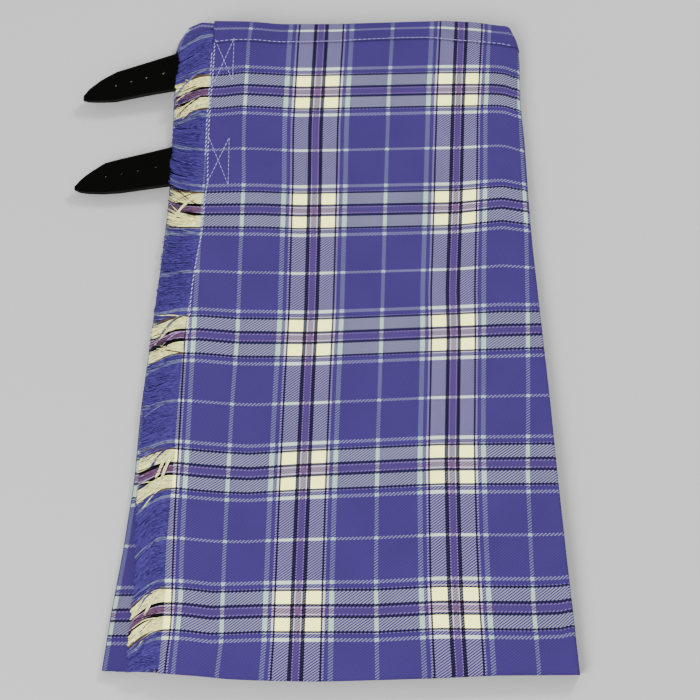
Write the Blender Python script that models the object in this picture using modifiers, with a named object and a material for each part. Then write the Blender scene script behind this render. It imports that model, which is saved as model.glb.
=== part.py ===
"""Kilt laid flat on its pleats, front apron up, with a fringed edge and two leather straps.

Sizes are in millimetres and are turned into metres where points are placed.
X runs across the garment, Y from hem to waist, Z up from the surface it lies on.
In the tables x and y are counted from the middle of the front's check grid.
"""
import math

import bmesh
import bpy
from mathutils import Vector

MM = 0.001

# Driving sizes
CLOTH = 1.0                 # thickness of every cloth wall
GAP = 0.3                   # air left at each seam
LEATHER = 2.6               # thickness of a strap
HEM_Y = -281.0              # nominal hem line
WAIST_Y = 320.0             # nominal top of the cloth
MIDDLE_X = -30.0            # middle of the laid garment in table coordinates
MIDDLE_Y = 23.1

# Pleats
PLEATS = 13
PLY_PITCH = 1.45            # from the middle of one ply to the next
DEPTH_RATIO = 2             # depth of a pleat over the width it shows
PLEAT_DROP = 5.6            # length over which a ply comes down to the outer level
INNER_CLEAR = 1.6           # the inner folds stop this far short of the full depth
LAST_SHOWN = 9.0            # outer cloth past the last fold
DROP_STEPS = [(-0.08, 2.0), (0.22, 1.9), (0.47, 1.3), (0.72, 0.5), (1.0, 0.0)]
PLEAT_ROWS = [-281.0, -50.0, 147.0, 245.0, 290.0, 302.0, 320.0]

# Waistband
BAND_Y = 302.0              # lower edge of the band on every panel
BAND_STEP = CLOTH + GAP     # from a panel's middle to the middle of the band's leg
BAND_LIFT = (245.0, 290.0)  # over these y the back's cloth rises to let the band under it
WAIST_RISE = (204.0, 246.0) # over these y the layers part to make room for the band

# Heights of the layers, middle of the cloth
FLOOR_PLY = CLOTH / 2
UNDER_LOW = 10.5            # under apron over the full stack of pleats
UNDER_WAIST = 14.5          # the same between the legs of the waistband
SIDE_LOW = 6.8              # under apron at the left side, where the stack runs out
SIDE_WAIST = 10.8
SIDE_RAMP = 3.0             # the climb starts this far from the left side
FRONT_OVER_LOW = 1.4
FRONT_OVER_WAIST = 3.95
EDGE_LIFT = 3.4             # the fringed edge rides over the strap roots
LIFT_FALL = (27.0, 62.0)    # and falls back between these distances from the edge
SHOULDER_SAG = 5.0          # fall of the front towards the right corner of the waist
SHOULDER_RUN = (96.0, 136.0)
SHOULDER_CLIMB = (150.0, 262.0)

# Soft waves along the front
WAVE = 1.7                  # half their height
WAVE_LENGTH = 215.0
WAVE_START = 62.0
WAVE_DRIFT = 430.0          # their crests wander once in this length
WAVE_SWING = 0.8
WAVE_FADE = (20.0, 70.0)    # they grow between these distances from the fringed edge
HEM_CALM = (-281.0, -190.0)
HEM_SHARE = 0.45            # part of the waves that is left at the hem

# How far each side's cloth turns in under the garment
RIGHT_RETURN = 8.0
LEFT_RETURN = 8.0
STRAIGHT_SIDE = 1.6         # least upright length between a side's two corners
UNDER_FREE_X = 90.0         # hidden free edge of the under apron
HEM_TUCK = 5.0              # the lowest plies end this far above the front's hem

# Fringe
LOCKS = 110
FRINGE_LOW = -276.0
FRINGE_HIGH = 299.0
BACKING = 2.0               # width of the strip that holds the roots
LOCK_SHARE = 0.74           # part of the spacing that a lock fills
LOCK_STEPS = 3
LOCK_TAPER = 0.45
LOCK_LEAD = 0.3             # backing past the last locks, in lock spacings
LOCK_DROOP = (2.0, 26.0)    # they bend down between these distances from the edge
TIP_SPREAD = 1.6            # uneven lengths of the locks
TIP_TURN = 2.4
LOCK_REST = 2.1             # a lock's middle above the middle of the cloth under it
STRAP_MARGIN = 9.0          # locks this near a strap lie over it
# y, how far a lock slides towards the hem for each step to the left, and its tip's x
FRINGE_LAY = [
    (-281.0, 0.08, -168.0),
    (-268.0, 0.28, -167.5),
    (-250.0, 0.46, -167.0),
    (-227.0, 0.42, -166.5),
    (-177.0, 0.60, -166.0),
    (-140.0, 0.52, -167.5),
    (-107.0, 0.25, -169.5),
    (-50.0, 0.06, -171.0),
    (12.9, 0.22, -168.5),
    (40.0, 0.02, -167.0),
    (110.0, -0.20, -162.0),
    (133.0, -0.30, -161.0),
    (170.0, -0.25, -160.5),
    (205.0, -0.15, -160.5),
    (253.0, 0.25, -159.5),
    (312.0, 0.40, -157.0),
]

# Rows of the garment from hem to waist
# y, fringed edge, right fold, left fold, right corner radius, left corner radius
OUTLINE = [
    (-281.0, -142.6, 182.0, -187.6, 2.0, 2.2),
    (-232.0, -142.2, 177.9, -183.6, 2.0, 2.2),
    (-180.0, -142.0, 173.2, -177.9, 2.0, 2.2),
    (-115.0, -139.4, 167.8, -172.8, 2.0, 2.2),
    (-50.0, -139.2, 163.0, -171.6, 2.0, 2.2),
    (16.0, -137.2, 157.4, -167.6, 2.0, 2.2),
    (77.0, -133.3, 152.1, -163.8, 3.0, 2.2),
    (97.0, -130.2, 150.3, -162.5, 3.4, 2.2),
    (147.0, -129.9, 147.2, -160.4, 4.8, 2.2),
    (206.0, -129.6, 144.3, -160.6, 6.4, 2.2),
    (245.0, -127.4, 141.2, -161.0, 7.6, 2.8),
    (287.0, -127.0, 140.8, -161.8, 7.8, 3.4),
    (302.0, -127.0, 139.6, -161.6, 7.8, 3.4),
    (311.0, -127.0, 137.0, -159.4, 7.4, 3.4),
    (320.0, -127.0, 132.6, -152.6, 7.0, 3.4),
]
EDGE, RIGHT, LEFT, RIGHT_CORNER, LEFT_CORNER = range(1, 6)

# Ends of the cloth across the garment: x, hem y, waist y
FRONT_ENDS = [
    (-138.0, -278.4, 324.2),
    (-93.0, -282.2, 322.0),
    (-67.0, -283.4, 320.7),
    (-20.0, -284.4, 319.3),
    (75.0, -282.6, 319.5),
    (120.0, -280.6, 315.6),
    (182.0, -280.0, 314.0),
]
UNDER_ENDS = [
    (-188.0, -275.0, 316.0),
    (-163.0, -275.0, 317.0),
    (-152.0, -275.6, 325.0),
    (-140.0, -276.0, 329.4),
    (-127.0, -276.8, 326.6),
    (-100.0, -278.5, 321.0),
    (-20.0, -281.0, 317.6),
    (75.0, -280.0, 317.0),
    (182.0, -278.0, 312.0),
]
BACK_ENDS = [
    (-152.0, -275.6, 325.0),
    (-20.0, -281.0, 319.6),
    (132.0, -279.0, 314.0),
]

# Straps: x, lower edge y, upper edge y, from the sewn root to the tip
UPPER_STRAP = [
    (-106.0, 261.5, 300.0),
    (-127.0, 262.0, 300.0),
    (-155.0, 257.4, 296.6),
    (-182.0, 254.0, 288.4),
    (-212.0, 249.0, 279.6),
    (-225.0, 249.2, 272.2),
    (-236.0, 250.0, 262.4),
    (-240.4, 251.6, 255.6),
]
LOWER_STRAP = [
    (-106.0, 164.0, 203.4),
    (-127.0, 164.6, 203.8),
    (-158.0, 162.2, 200.8),
    (-180.0, 159.8, 195.8),
    (-203.0, 157.4, 191.0),
    (-217.0, 157.2, 187.4),
    (-231.0, 158.2, 177.4),
    (-240.0, 160.2, 168.4),
    (-242.1, 162.2, 164.6),
]
UPPER_HOLES = [(-212.6, 265.6), (-199.1, 269.4), (-185.7, 273.0), (-170.7, 276.4)]
LOWER_HOLES = [(-215.7, 175.2), (-202.0, 177.6), (-187.7, 180.0), (-172.0, 182.6)]
HOLE_RADIUS = 1.6
HOLE_SIDES = 10
HANG_X = -134.0             # past this the straps leave the cloth
UPPER_TIP_HEIGHT = 12.0
LOWER_TIP_HEIGHT = 9.0

CLOTH_BLUE = (0.075, 0.067, 0.285, 1.0)
BAND_BLUE = (0.067, 0.060, 0.260, 1.0)
FRINGE_BLUE = (0.10, 0.09, 0.33, 1.0)
LEATHER_BLACK = (0.008, 0.009, 0.008, 1.0)


def smooth(low, high, value):
    """0 below low, 1 above high, and a soft step between."""
    t = min(max((value - low) / (high - low), 0.0), 1.0)
    return t * t * (3.0 - 2.0 * t)


def mix(a, b, share):
    return a + (b - a) * share


def read_table(table, key, column):
    """A column's value at a place between the table's rows."""
    rows = sorted(table)
    if key <= rows[0][0]:
        return rows[0][column]
    for low, high in zip(rows, rows[1:]):
        if key <= high[0]:
            share = (key - low[0]) / (high[0] - low[0])
            return mix(low[column], high[column], share)
    return rows[-1][column]


def evenly(start, end, count):
    return [mix(start, end, i / (count - 1)) for i in range(count)]


def outline(y, column):
    return read_table(OUTLINE, y, column)


def place_y(ends, x, y):
    """The real y of a nominal row, between the hem and the waist edge at this x."""
    share = (y - HEM_Y) / (WAIST_Y - HEM_Y)
    return mix(read_table(ends, x, 1), read_table(ends, x, 2), share)


def hem_tuck(y, z):
    """Lower plies end a little higher up the skirt, evenly up to the second row of pleats."""
    depth = max(0.0, 1.0 - z / UNDER_LOW)
    return HEM_TUCK * depth * max(0.0, (PLEAT_ROWS[1] - y) / (PLEAT_ROWS[1] - HEM_Y))


def waist_rise(y):
    """0 on the skirt and 1 where the band's legs thicken the waist."""
    return smooth(*WAIST_RISE, y)


def band_lift(y):
    """The cloth leaves the surface to let the band's outer leg under it."""
    return BAND_STEP * smooth(*BAND_LIFT, y)


def under_level(y):
    """Middle of the under apron's cloth over the full stack of pleats."""
    return mix(UNDER_LOW, UNDER_WAIST, waist_rise(y))


def ramp_ends(y):
    """The stretch at the left side over which the stack reaches its full height."""
    return outline(y, LEFT) + SIDE_RAMP, seam_x(y, "left") + shown_width(y) - 2.0 * GAP


def under_height(x, y):
    """Middle of the under apron's cloth: level, and falling towards the left side."""
    low, high = ramp_ends(y)
    share = min(max((x - low) / (high - low), 0.0), 1.0)
    return mix(mix(SIDE_LOW, SIDE_WAIST, waist_rise(y)), under_level(y), share)


def front_height(x, y):
    """Middle of the front apron's cloth: waves, a raised edge and a sagging shoulder."""
    inside = x - edge_x(y)
    level = under_level(y) + mix(FRONT_OVER_LOW, FRONT_OVER_WAIST, waist_rise(y))
    level += EDGE_LIFT * (1.0 - smooth(*LIFT_FALL, inside))
    drift = WAVE_SWING * math.sin(math.tau * (y + WAVE_START) / WAVE_DRIFT)
    ripple = math.sin(math.tau * (x + WAVE_START) / WAVE_LENGTH + drift)
    flatter = (1.0 - waist_rise(y)) * mix(HEM_SHARE, 1.0, smooth(*HEM_CALM, y))
    level += WAVE * (1.0 - ripple) * flatter * smooth(*WAVE_FADE, inside)
    sag = smooth(*SHOULDER_RUN, x) * smooth(*SHOULDER_CLIMB, y)
    return level - SHOULDER_SAG * sag


def edge_x(y):
    """The fringed edge, straight between the front's rows."""
    return read_table([(row, outline(row, EDGE)) for row in FRONT_ROWS], y, 1)


def seam_x(y, side):
    """Where a side's return meets the pleated back, straight between the pleats' rows."""
    def at_row(row):
        if side == "right":
            return outline(row, RIGHT) - outline(row, RIGHT_CORNER) - RIGHT_RETURN
        return outline(row, LEFT) + outline(row, LEFT_CORNER) + LEFT_RETURN
    return read_table([(row, at_row(row)) for row in PLEAT_ROWS], y, 1)


def shown_width(y):
    """Width that each pleat shows on the outside of the back."""
    return (seam_x(y, "right") - seam_x(y, "left") - LAST_SHOWN) / PLEATS


def arc(centre_x, centre_z, radius, start, end, steps):
    """Points on an arc, angles in degrees, counted anticlockwise from +X."""
    points = []
    for angle in evenly(start, end, steps + 1):
        turn = math.radians(angle)
        points.append((centre_x + radius * math.cos(turn), centre_z + radius * math.sin(turn)))
    return points


def front_path(y, columns=25):
    """Across the front from the fringed edge, round the right side and in under it."""
    fold = outline(y, RIGHT) - CLOTH / 2
    corner = outline(y, RIGHT_CORNER)
    floor = FLOOR_PLY + band_lift(y)
    level = front_height(fold - corner, y)
    corner = min(corner, (level - floor) / 2 - STRAIGHT_SIDE / 2)
    level = front_height(fold - corner, y)
    flat = evenly(outline(y, EDGE), fold - corner, columns)
    points = [(x, front_height(x, y)) for x in flat]
    points += arc(fold - corner, level - corner, corner, 90, 0, 3)[1:]
    points += arc(fold - corner, floor + corner, corner, 0, -90, 3)
    points.append((seam_x(y, "right") + GAP, floor))
    return points


def under_path(y):
    """Across the under apron from its hidden edge, round the left side and in under it."""
    fold = outline(y, LEFT) + CLOTH / 2
    floor = FLOOR_PLY + band_lift(y)
    level = under_height(fold, y)
    corner = min(outline(y, LEFT_CORNER), (level - floor) / 2 - STRAIGHT_SIDE / 2)
    low, high = ramp_ends(y)
    points = [(x, under_level(y)) for x in evenly(UNDER_FREE_X, high, 6)]
    points += [(x, under_height(x, y)) for x in evenly(high, fold + corner, 5)[1:]]
    level = points[-1][1]
    points += arc(fold + corner, level - corner, corner, 90, 180, 3)[1:]
    points += arc(fold + corner, floor + corner, corner, 180, 270, 3)
    points.append((seam_x(y, "left") - GAP, floor))
    return points


def pleat_path(y):
    """One ribbon folded into knife pleats: out along the surface, back, and out again."""
    start = seam_x(y, "left")
    shown = shown_width(y)
    floor = FLOOR_PLY + band_lift(y)

    def level(plies):
        return floor + PLY_PITCH * plies

    half = PLY_PITCH / 2
    points = [(start, floor)]
    for pleat in range(PLEATS):
        fold = start + shown * (pleat + 1)
        steps = min(pleat + 1, DEPTH_RATIO)
        below = [2 * min(pleat, step) for step in range(steps + 1)]
        inner = fold - shown * steps + INNER_CLEAR
        uneven = range(1, steps) if pleat < DEPTH_RATIO else []
        points += arc(fold - half, level(0.5), half, -90, 90, 3)
        points += [(fold - shown * step, level(1 + below[step])) for step in uneven]
        points += arc(inner, level(1.5 + below[-1]), half, 270, 90, 3)
        points += [(fold - shown * step, level(2 + below[step])) for step in reversed(uneven)]
        for step, plies in DROP_STEPS:
            points.append((fold + PLEAT_DROP * step, level(plies)))
    points.append((seam_x(y, "right"), floor))
    return points


def new_object(name, mesh, material, collection):
    obj = bpy.data.objects.new(name, mesh)
    obj.data.materials.append(material)
    collection.objects.link(obj)
    return obj


def plain_material(name, colour, roughness):
    material = bpy.data.materials.new(name)
    material.use_nodes = True
    shader = material.node_tree.nodes["Principled BSDF"]
    shader.inputs["Base Color"].default_value = colour
    shader.inputs["Roughness"].default_value = roughness
    shader.inputs["Metallic"].default_value = 0.0
    return material


def sheet_mesh(name, rows):
    """A grid whose points are the given rows of (x, y, z) in millimetres."""
    across = len(rows[0]) - 1
    along = len(rows) - 1
    bm = bmesh.new()
    bmesh.ops.create_grid(bm, x_segments=across, y_segments=along, size=0.5)
    for vert in bm.verts:
        column = round((vert.co.x + 0.5) * across)
        row = round((vert.co.y + 0.5) * along)
        vert.co = Vector(rows[row][column]) * MM
    mesh = bpy.data.meshes.new(name)
    bm.to_mesh(mesh)
    bm.free()
    mesh.shade_smooth()
    return mesh


def thicken(obj, thickness):
    """Turn an open sheet into a closed wall, half to each side."""
    wall = obj.modifiers.new("Wall", "SOLIDIFY")
    wall.thickness = thickness * MM
    wall.offset = 0.0
    wall.use_even_offset = True
    wall.use_quality_normals = True
    return wall


def cloth_panel(name, path, ends, row_list, material, collection):
    """A cloth wall through its sections, one for each nominal row."""
    rows = []
    for y in row_list:
        rows.append([(x, place_y(ends, x, y) + hem_tuck(y, z), z) for x, z in path(y)])
    obj = new_object(name, sheet_mesh(name, rows), material, collection)
    thicken(obj, CLOTH)
    return obj


def path_normals(points):
    """Outward steps of a section's path, drawn out at its corners to keep one distance."""
    sides = []
    for (x0, z0), (x1, z1) in zip(points, points[1:]):
        along = Vector((x1 - x0, z1 - z0)).normalized()
        sides.append(Vector((-along.y, along.x)))
    normals = [sides[0]]
    for before, after in zip(sides, sides[1:]):
        middle = (before + after).normalized()
        normals.append(middle / middle.dot(after))
    return normals + [sides[-1]]


def folded_band(name, path, ends, outside, material, collection):
    """A strip over a panel's top edge, made from the panel's own points, moved out."""
    band_rows = [y for y in FRONT_ROWS if y >= BAND_Y]
    legs = [(y, 0.0) for y in band_rows] + [(WAIST_Y, a) for a in (45.0, 90.0, 135.0, 180.0)]
    legs += [(y, 180.0) for y in reversed(band_rows[:-1])]
    rows = []
    for y, turn in legs:
        points = path(y)
        out = math.cos(math.radians(turn)) * BAND_STEP * outside
        up = math.sin(math.radians(turn)) * BAND_STEP
        row = []
        for (x, z), normal in zip(points, path_normals(points)):
            side_x = x + normal.x * out
            row.append((side_x, place_y(ends, x, y) + up, z + normal.y * out))
        rows.append(row)
    obj = new_object(name, sheet_mesh(name, rows), material, collection)
    thicken(obj, CLOTH)
    return obj


def stack_height(x, y):
    """Middle of the pleats' highest ply, lower near the first folds and past the last."""
    left, right = seam_x(y, "left"), seam_x(y, "right")
    shown = shown_width(y)
    corners = [
        (left, PLY_PITCH * 2 * DEPTH_RATIO),
        (left + shown, PLY_PITCH * (2 + 2 * DEPTH_RATIO)),
        (right - LAST_SHOWN - shown, PLY_PITCH * (2 + 2 * DEPTH_RATIO)),
        (right, PLY_PITCH * 2.5),
    ]
    return FLOOR_PLY + BAND_STEP + read_table(corners, x, 1)


def back_band(name, material, collection, columns=16):
    """The band over the stack of pleats: under it, up its end and back over its top."""
    rows = []
    for leg, out in enumerate((0.0, 0.5, 1.0, 1.0, 1.0, 0.5, 0.0)):
        y = BAND_Y if leg in (0, 6) else WAIST_Y
        row = []
        for x in evenly(seam_x(y, "left"), seam_x(y, "right"), columns):
            top = stack_height(x, y) + BAND_STEP
            middle = (FLOOR_PLY + top) / 2
            low = FLOOR_PLY + BAND_STEP / 2
            high = top - BAND_STEP / 2
            level = (FLOOR_PLY, FLOOR_PLY, low, middle, high, top, top)[leg]
            row.append((x, place_y(BACK_ENDS, x, y) + out * BAND_STEP, level))
        rows.append(row)
    obj = new_object(name, sheet_mesh(name, rows), material, collection)
    thicken(obj, CLOTH)
    return obj


def fringe_height(x, y):
    """Middle of a lock: level with the apron's edge, then down onto what lies below."""
    root = front_height(edge_x(y), y)
    rest = under_height(x, y) + LOCK_REST
    for strap in (UPPER_STRAP, LOWER_STRAP):
        low = min(row[1] for row in strap[:4]) - STRAP_MARGIN
        high = max(row[2] for row in strap[:4]) + STRAP_MARGIN
        if low < y < high:
            rest = under_level(y) + LOCK_REST + LEATHER
    return mix(root, min(rest, root), smooth(*LOCK_DROOP, edge_x(y) - x))


def make_fringe(name, material, collection):
    """Locks drawn out of one narrow strip, parted from the apron's edge."""
    cells = 2 * LOCKS + 1
    pitch = (FRINGE_HIGH - FRINGE_LOW) / LOCKS
    bounds = []
    for lock in range(LOCKS):
        bounds += [lock * pitch, (lock + LOCK_SHARE) * pitch]
    bounds = [-LOCK_LEAD * pitch] + bounds + [LOCKS * pitch]
    bm = bmesh.new()
    bmesh.ops.create_grid(bm, x_segments=1, y_segments=cells, size=0.5)
    for vert in bm.verts:
        row = round((vert.co.y + 0.5) * cells)
        y = FRINGE_LOW + bounds[row]
        x = edge_x(y) - GAP - (BACKING if vert.co.x < 0 else 0.0)
        level = front_height(edge_x(y), y) + CLOTH / 2
        vert.co = Vector((x, place_y(FRONT_ENDS, x, y), level)) * MM
    bmesh.ops.solidify(bm, geom=bm.faces[:], thickness=CLOTH * MM)
    bmesh.ops.recalc_face_normals(bm, faces=bm.faces[:])
    side = [face for face in bm.faces if face.normal.x < -0.9]
    side.sort(key=lambda face: face.calc_center_median().y)
    roots = side[1::2]
    drawn = bmesh.ops.extrude_discrete_faces(bm, faces=roots)["faces"]
    for step in range(LOCK_STEPS):
        if step:
            drawn = bmesh.ops.extrude_discrete_faces(bm, faces=drawn)["faces"]
        drawn = sorted(drawn, key=lambda face: face.calc_center_median().y)
        for number, face in enumerate(drawn):
            move_lock(face, number, step)
    mesh = bpy.data.meshes.new(name)
    bm.to_mesh(mesh)
    bm.free()
    return new_object(name, mesh, material, collection)


def move_lock(face, number, step):
    """Carry a lock's end face one step on towards its tip and narrow it a little."""
    centre = face.calc_center_median() / MM
    pitch = (FRINGE_HIGH - FRINGE_LOW) / LOCKS
    root_y = FRINGE_LOW + (number + LOCK_SHARE / 2) * pitch
    root_x = edge_x(root_y) - GAP - BACKING
    tip_x = read_table(FRINGE_LAY, root_y, 2) + TIP_SPREAD * math.sin(TIP_TURN * number)
    share = (step + 1) / LOCK_STEPS
    x = mix(root_x, tip_x, share)
    slide = read_table(FRINGE_LAY, root_y, 1) * (root_x - x)
    y = place_y(FRONT_ENDS, root_x, root_y) - slide * share
    z = fringe_height(x, root_y)
    narrow = mix(1.0, LOCK_TAPER, share) / (mix(1.0, LOCK_TAPER, step / LOCK_STEPS))
    for vert in face.verts:
        offset = vert.co / MM - centre
        vert.co = Vector((x, y + offset.y * narrow, z + offset.z * narrow)) * MM


def make_strap(name, table, holes, tip_height, material, collection, cutters):
    """A leather strap with a pointed end, sewn under the apron and free past the side."""
    root = under_level(table[0][1]) + CLOTH / 2 + GAP + LEATHER / 2
    rows = []
    for x, low, high in table:
        z = mix(tip_height, root, smooth(table[-1][0], HANG_X, x))
        rows.append([(x, mix(low, high, share), z) for share in (0.0, 0.5, 1.0)])
    strap = new_object(name, sheet_mesh(name, rows), material, collection)
    thicken(strap, LEATHER)
    for number, (x, y) in enumerate(holes):
        z = mix(tip_height, root, smooth(table[-1][0], HANG_X, x))
        bpy.ops.mesh.primitive_cylinder_add(vertices=HOLE_SIDES, radius=HOLE_RADIUS * MM,
                                            depth=4 * LEATHER * MM,
                                            location=Vector((x, y, z)) * MM)
        cutter = bpy.context.active_object
        cutter.name = name + "_punch_" + str(number)
        cutter.hide_render = True
        cutter.display_type = "WIRE"
        for holder in list(cutter.users_collection):
            holder.objects.unlink(cutter)
        cutters.objects.link(cutter)
        cut = strap.modifiers.new("Hole " + str(number), "BOOLEAN")
        cut.operation = "DIFFERENCE"
        cut.object = cutter
    return strap


FRONT_ROWS = evenly(-281.0, 200.0, 14) + [222.0, 245.0, 268.0, 290.0, 302.0, 311.0, 320.0]
UNDER_ROWS = evenly(-281.0, 200.0, 7) + [222.0, 245.0, 268.0, 290.0, 302.0, 311.0, 320.0]


def build():
    for obj in list(bpy.data.objects):
        bpy.data.objects.remove(obj, do_unlink=True)
    kilt = bpy.data.collections.new("Kilt")
    cutters = bpy.data.collections.new("Cutters")
    bpy.context.scene.collection.children.link(kilt)
    bpy.context.scene.collection.children.link(cutters)
    centre = bpy.data.objects.new("laid_kilt", None)
    centre.location = (-MIDDLE_X * MM, -MIDDLE_Y * MM, 0.0)
    kilt.objects.link(centre)

    front_cloth = plain_material("front check", CLOTH_BLUE, 0.85)
    under_cloth = plain_material("under check", CLOTH_BLUE, 0.85)
    pleat_cloth = plain_material("pleat check", CLOTH_BLUE, 0.85)
    band_cloth = plain_material("band check", BAND_BLUE, 0.85)
    yarn = plain_material("fringe yarn", FRINGE_BLUE, 0.9)
    leather = plain_material("black leather", LEATHER_BLACK, 0.45)

    cloth_panel("front_apron", front_path, FRONT_ENDS, FRONT_ROWS, front_cloth, kilt)
    cloth_panel("under_apron", under_path, UNDER_ENDS, UNDER_ROWS, under_cloth, kilt)
    cloth_panel("pleated_back", pleat_path, BACK_ENDS, PLEAT_ROWS, pleat_cloth, kilt)
    folded_band("waistband_front", front_path, FRONT_ENDS, 1.0, band_cloth, kilt)
    folded_band("waistband_under", under_path, UNDER_ENDS, -1.0, band_cloth, kilt)
    back_band("waistband_back", band_cloth, kilt)
    make_fringe("fringe", yarn, kilt)
    make_strap("strap_upper", UPPER_STRAP, UPPER_HOLES, UPPER_TIP_HEIGHT, leather, kilt, cutters)
    make_strap("strap_lower", LOWER_STRAP, LOWER_HOLES, LOWER_TIP_HEIGHT, leather, kilt, cutters)

    for obj in list(kilt.objects) + list(cutters.objects):
        if obj is not centre:
            obj.parent = centre


build()
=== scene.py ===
"""Kilt laid flat, front apron up: woven check, knife pleats, fringed edge and two straps.

Lengths are in millimetres in table coordinates and become metres where points are placed.
"""
import math
import random

import bmesh
import bpy
from mathutils import Matrix, Vector


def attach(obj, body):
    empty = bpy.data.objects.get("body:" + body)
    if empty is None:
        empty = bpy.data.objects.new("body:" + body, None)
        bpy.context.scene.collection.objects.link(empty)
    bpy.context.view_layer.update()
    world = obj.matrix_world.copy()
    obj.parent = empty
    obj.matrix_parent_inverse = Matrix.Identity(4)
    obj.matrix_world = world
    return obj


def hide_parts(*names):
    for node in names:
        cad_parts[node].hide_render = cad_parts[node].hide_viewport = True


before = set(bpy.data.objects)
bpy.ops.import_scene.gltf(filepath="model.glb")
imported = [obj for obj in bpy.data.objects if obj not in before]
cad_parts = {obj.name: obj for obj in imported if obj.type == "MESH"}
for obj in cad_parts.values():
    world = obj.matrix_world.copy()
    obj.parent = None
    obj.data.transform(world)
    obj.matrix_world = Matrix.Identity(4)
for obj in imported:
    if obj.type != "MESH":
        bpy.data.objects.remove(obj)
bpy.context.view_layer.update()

MM = 0.001
MIDDLE_X, MIDDLE_Y = -30.0, 23.1    # the part's middle in table coordinates

# Walls and layers, as in the solids
CLOTH = 1.0
GAP = 0.3
LEATHER = 2.6
HEM_Y, WAIST_Y, BAND_Y = -281.0, 320.0, 302.0   # nominal rows; tables of ends give the real y
BAND_STEP = CLOTH + GAP
BAND_LIFT = (245.0, 290.0)          # from here to there the lowest plies rise onto the band
WAIST_RISE = (204.0, 246.0)         # and here the aprons rise over the thicker waist
FLOOR_PLY = CLOTH / 2
UNDER_LOW, UNDER_WAIST = 10.5, 14.5
SIDE_LOW, SIDE_WAIST, SIDE_RAMP = 6.8, 10.8, 3.0
FRONT_OVER_LOW, FRONT_OVER_WAIST = 1.4, 3.95
EDGE_LIFT, LIFT_FALL = 3.4, (27.0, 62.0)        # the fringed edge stands up and falls inwards
SHOULDER_SAG, SHOULDER_RUN, SHOULDER_CLIMB = 5.0, (96.0, 136.0), (150.0, 262.0)
WAVE, WAVE_LENGTH, WAVE_START, WAVE_DRIFT, WAVE_SWING = 1.7, 215.0, 62.0, 430.0, 0.8
WAVE_FADE, HEM_CALM, HEM_SHARE = (20.0, 70.0), (-281.0, -190.0), 0.45
RIGHT_RETURN, LEFT_RETURN, STRAIGHT_SIDE = 8.0, 8.0, 1.6
UNDER_FREE_X, HEM_TUCK = 90.0, 5.0
FRONT_COLUMNS, UNDER_COLUMNS, RAMP_COLUMNS, CORNER_STEPS = 76, 30, 12, 6

# Pleats
PLEATS, PLY_PITCH, DEPTH_RATIO = 13, 1.45, 2    # each goes under the two before it
PLEAT_DROP, INNER_CLEAR, LAST_SHOWN = 5.6, 1.6, 9.0
# Share of the drop past a fold, and how many plies high the next pleat still is there
DROP_STEPS = [(-0.08, 2.0), (0.22, 1.9), (0.47, 1.3), (0.72, 0.5), (1.0, 0.0)]
PLEAT_ROWS = [HEM_Y, -50.0, 147.0, 245.0, 290.0, BAND_Y, WAIST_Y]      # straight between these
FOLD_STEPS, LAST_PLIES = 4, 2.5

# The cloth that the eye sees, a little thinner than the solids' wall
WALL = 0.8
BAND_OUT = 1.05                     # from a panel's middle to the middle of the band over it

# y, fringed edge, right fold, left fold, right corner radius, left corner radius
OUTLINE = [
    (-281.0, -141.3, 182.0, -187.6, 2.0, 2.2),
    (-232.0, -139.7, 177.9, -183.6, 2.0, 2.2),
    (-180.0, -141.4, 173.2, -177.9, 2.0, 2.2),
    (-115.0, -139.8, 167.8, -172.8, 2.0, 2.2),
    (-50.0, -139.2, 163.0, -171.6, 2.0, 2.2),
    (16.0, -137.2, 157.4, -167.6, 2.0, 2.2),
    (77.0, -133.3, 152.1, -163.8, 3.0, 2.2),
    (97.0, -130.2, 150.3, -162.5, 3.4, 2.2),
    (147.0, -129.9, 147.2, -160.4, 4.8, 2.2),
    (206.0, -129.6, 144.3, -160.6, 6.4, 2.2),
    (245.0, -127.4, 141.2, -161.0, 7.6, 2.8),
    (287.0, -127.0, 140.8, -161.8, 7.8, 3.4),
    (302.0, -127.0, 139.6, -161.6, 7.8, 3.4),
    (311.0, -127.0, 137.0, -159.4, 7.4, 3.4),
    (320.0, -127.0, 132.6, -152.6, 7.0, 3.4),
]
EDGE, RIGHT, LEFT, RIGHT_CORNER, LEFT_CORNER = range(1, 6)

# x, hem y, waist y
FRONT_ENDS = [
    (-138.0, -278.4, 324.2),
    (-93.0, -282.2, 322.0),
    (-67.0, -283.4, 320.7),
    (-20.0, -284.4, 319.3),
    (75.0, -282.6, 319.5),
    (120.0, -280.6, 315.6),
    (182.0, -280.0, 314.0),
]
UNDER_ENDS = [
    (-188.0, -275.0, 316.0),
    (-163.0, -275.0, 317.0),
    (-152.0, -275.6, 325.0),
    (-140.0, -276.0, 329.4),
    (-127.0, -276.8, 326.6),
    (-100.0, -278.5, 321.0),
    (-20.0, -281.0, 317.6),
    (75.0, -280.0, 317.0),
    (182.0, -278.0, 312.0),
]
BACK_ENDS = [
    (-152.0, -275.6, 325.0),
    (-20.0, -281.0, 319.6),
    (132.0, -279.0, 314.0),
]

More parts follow.
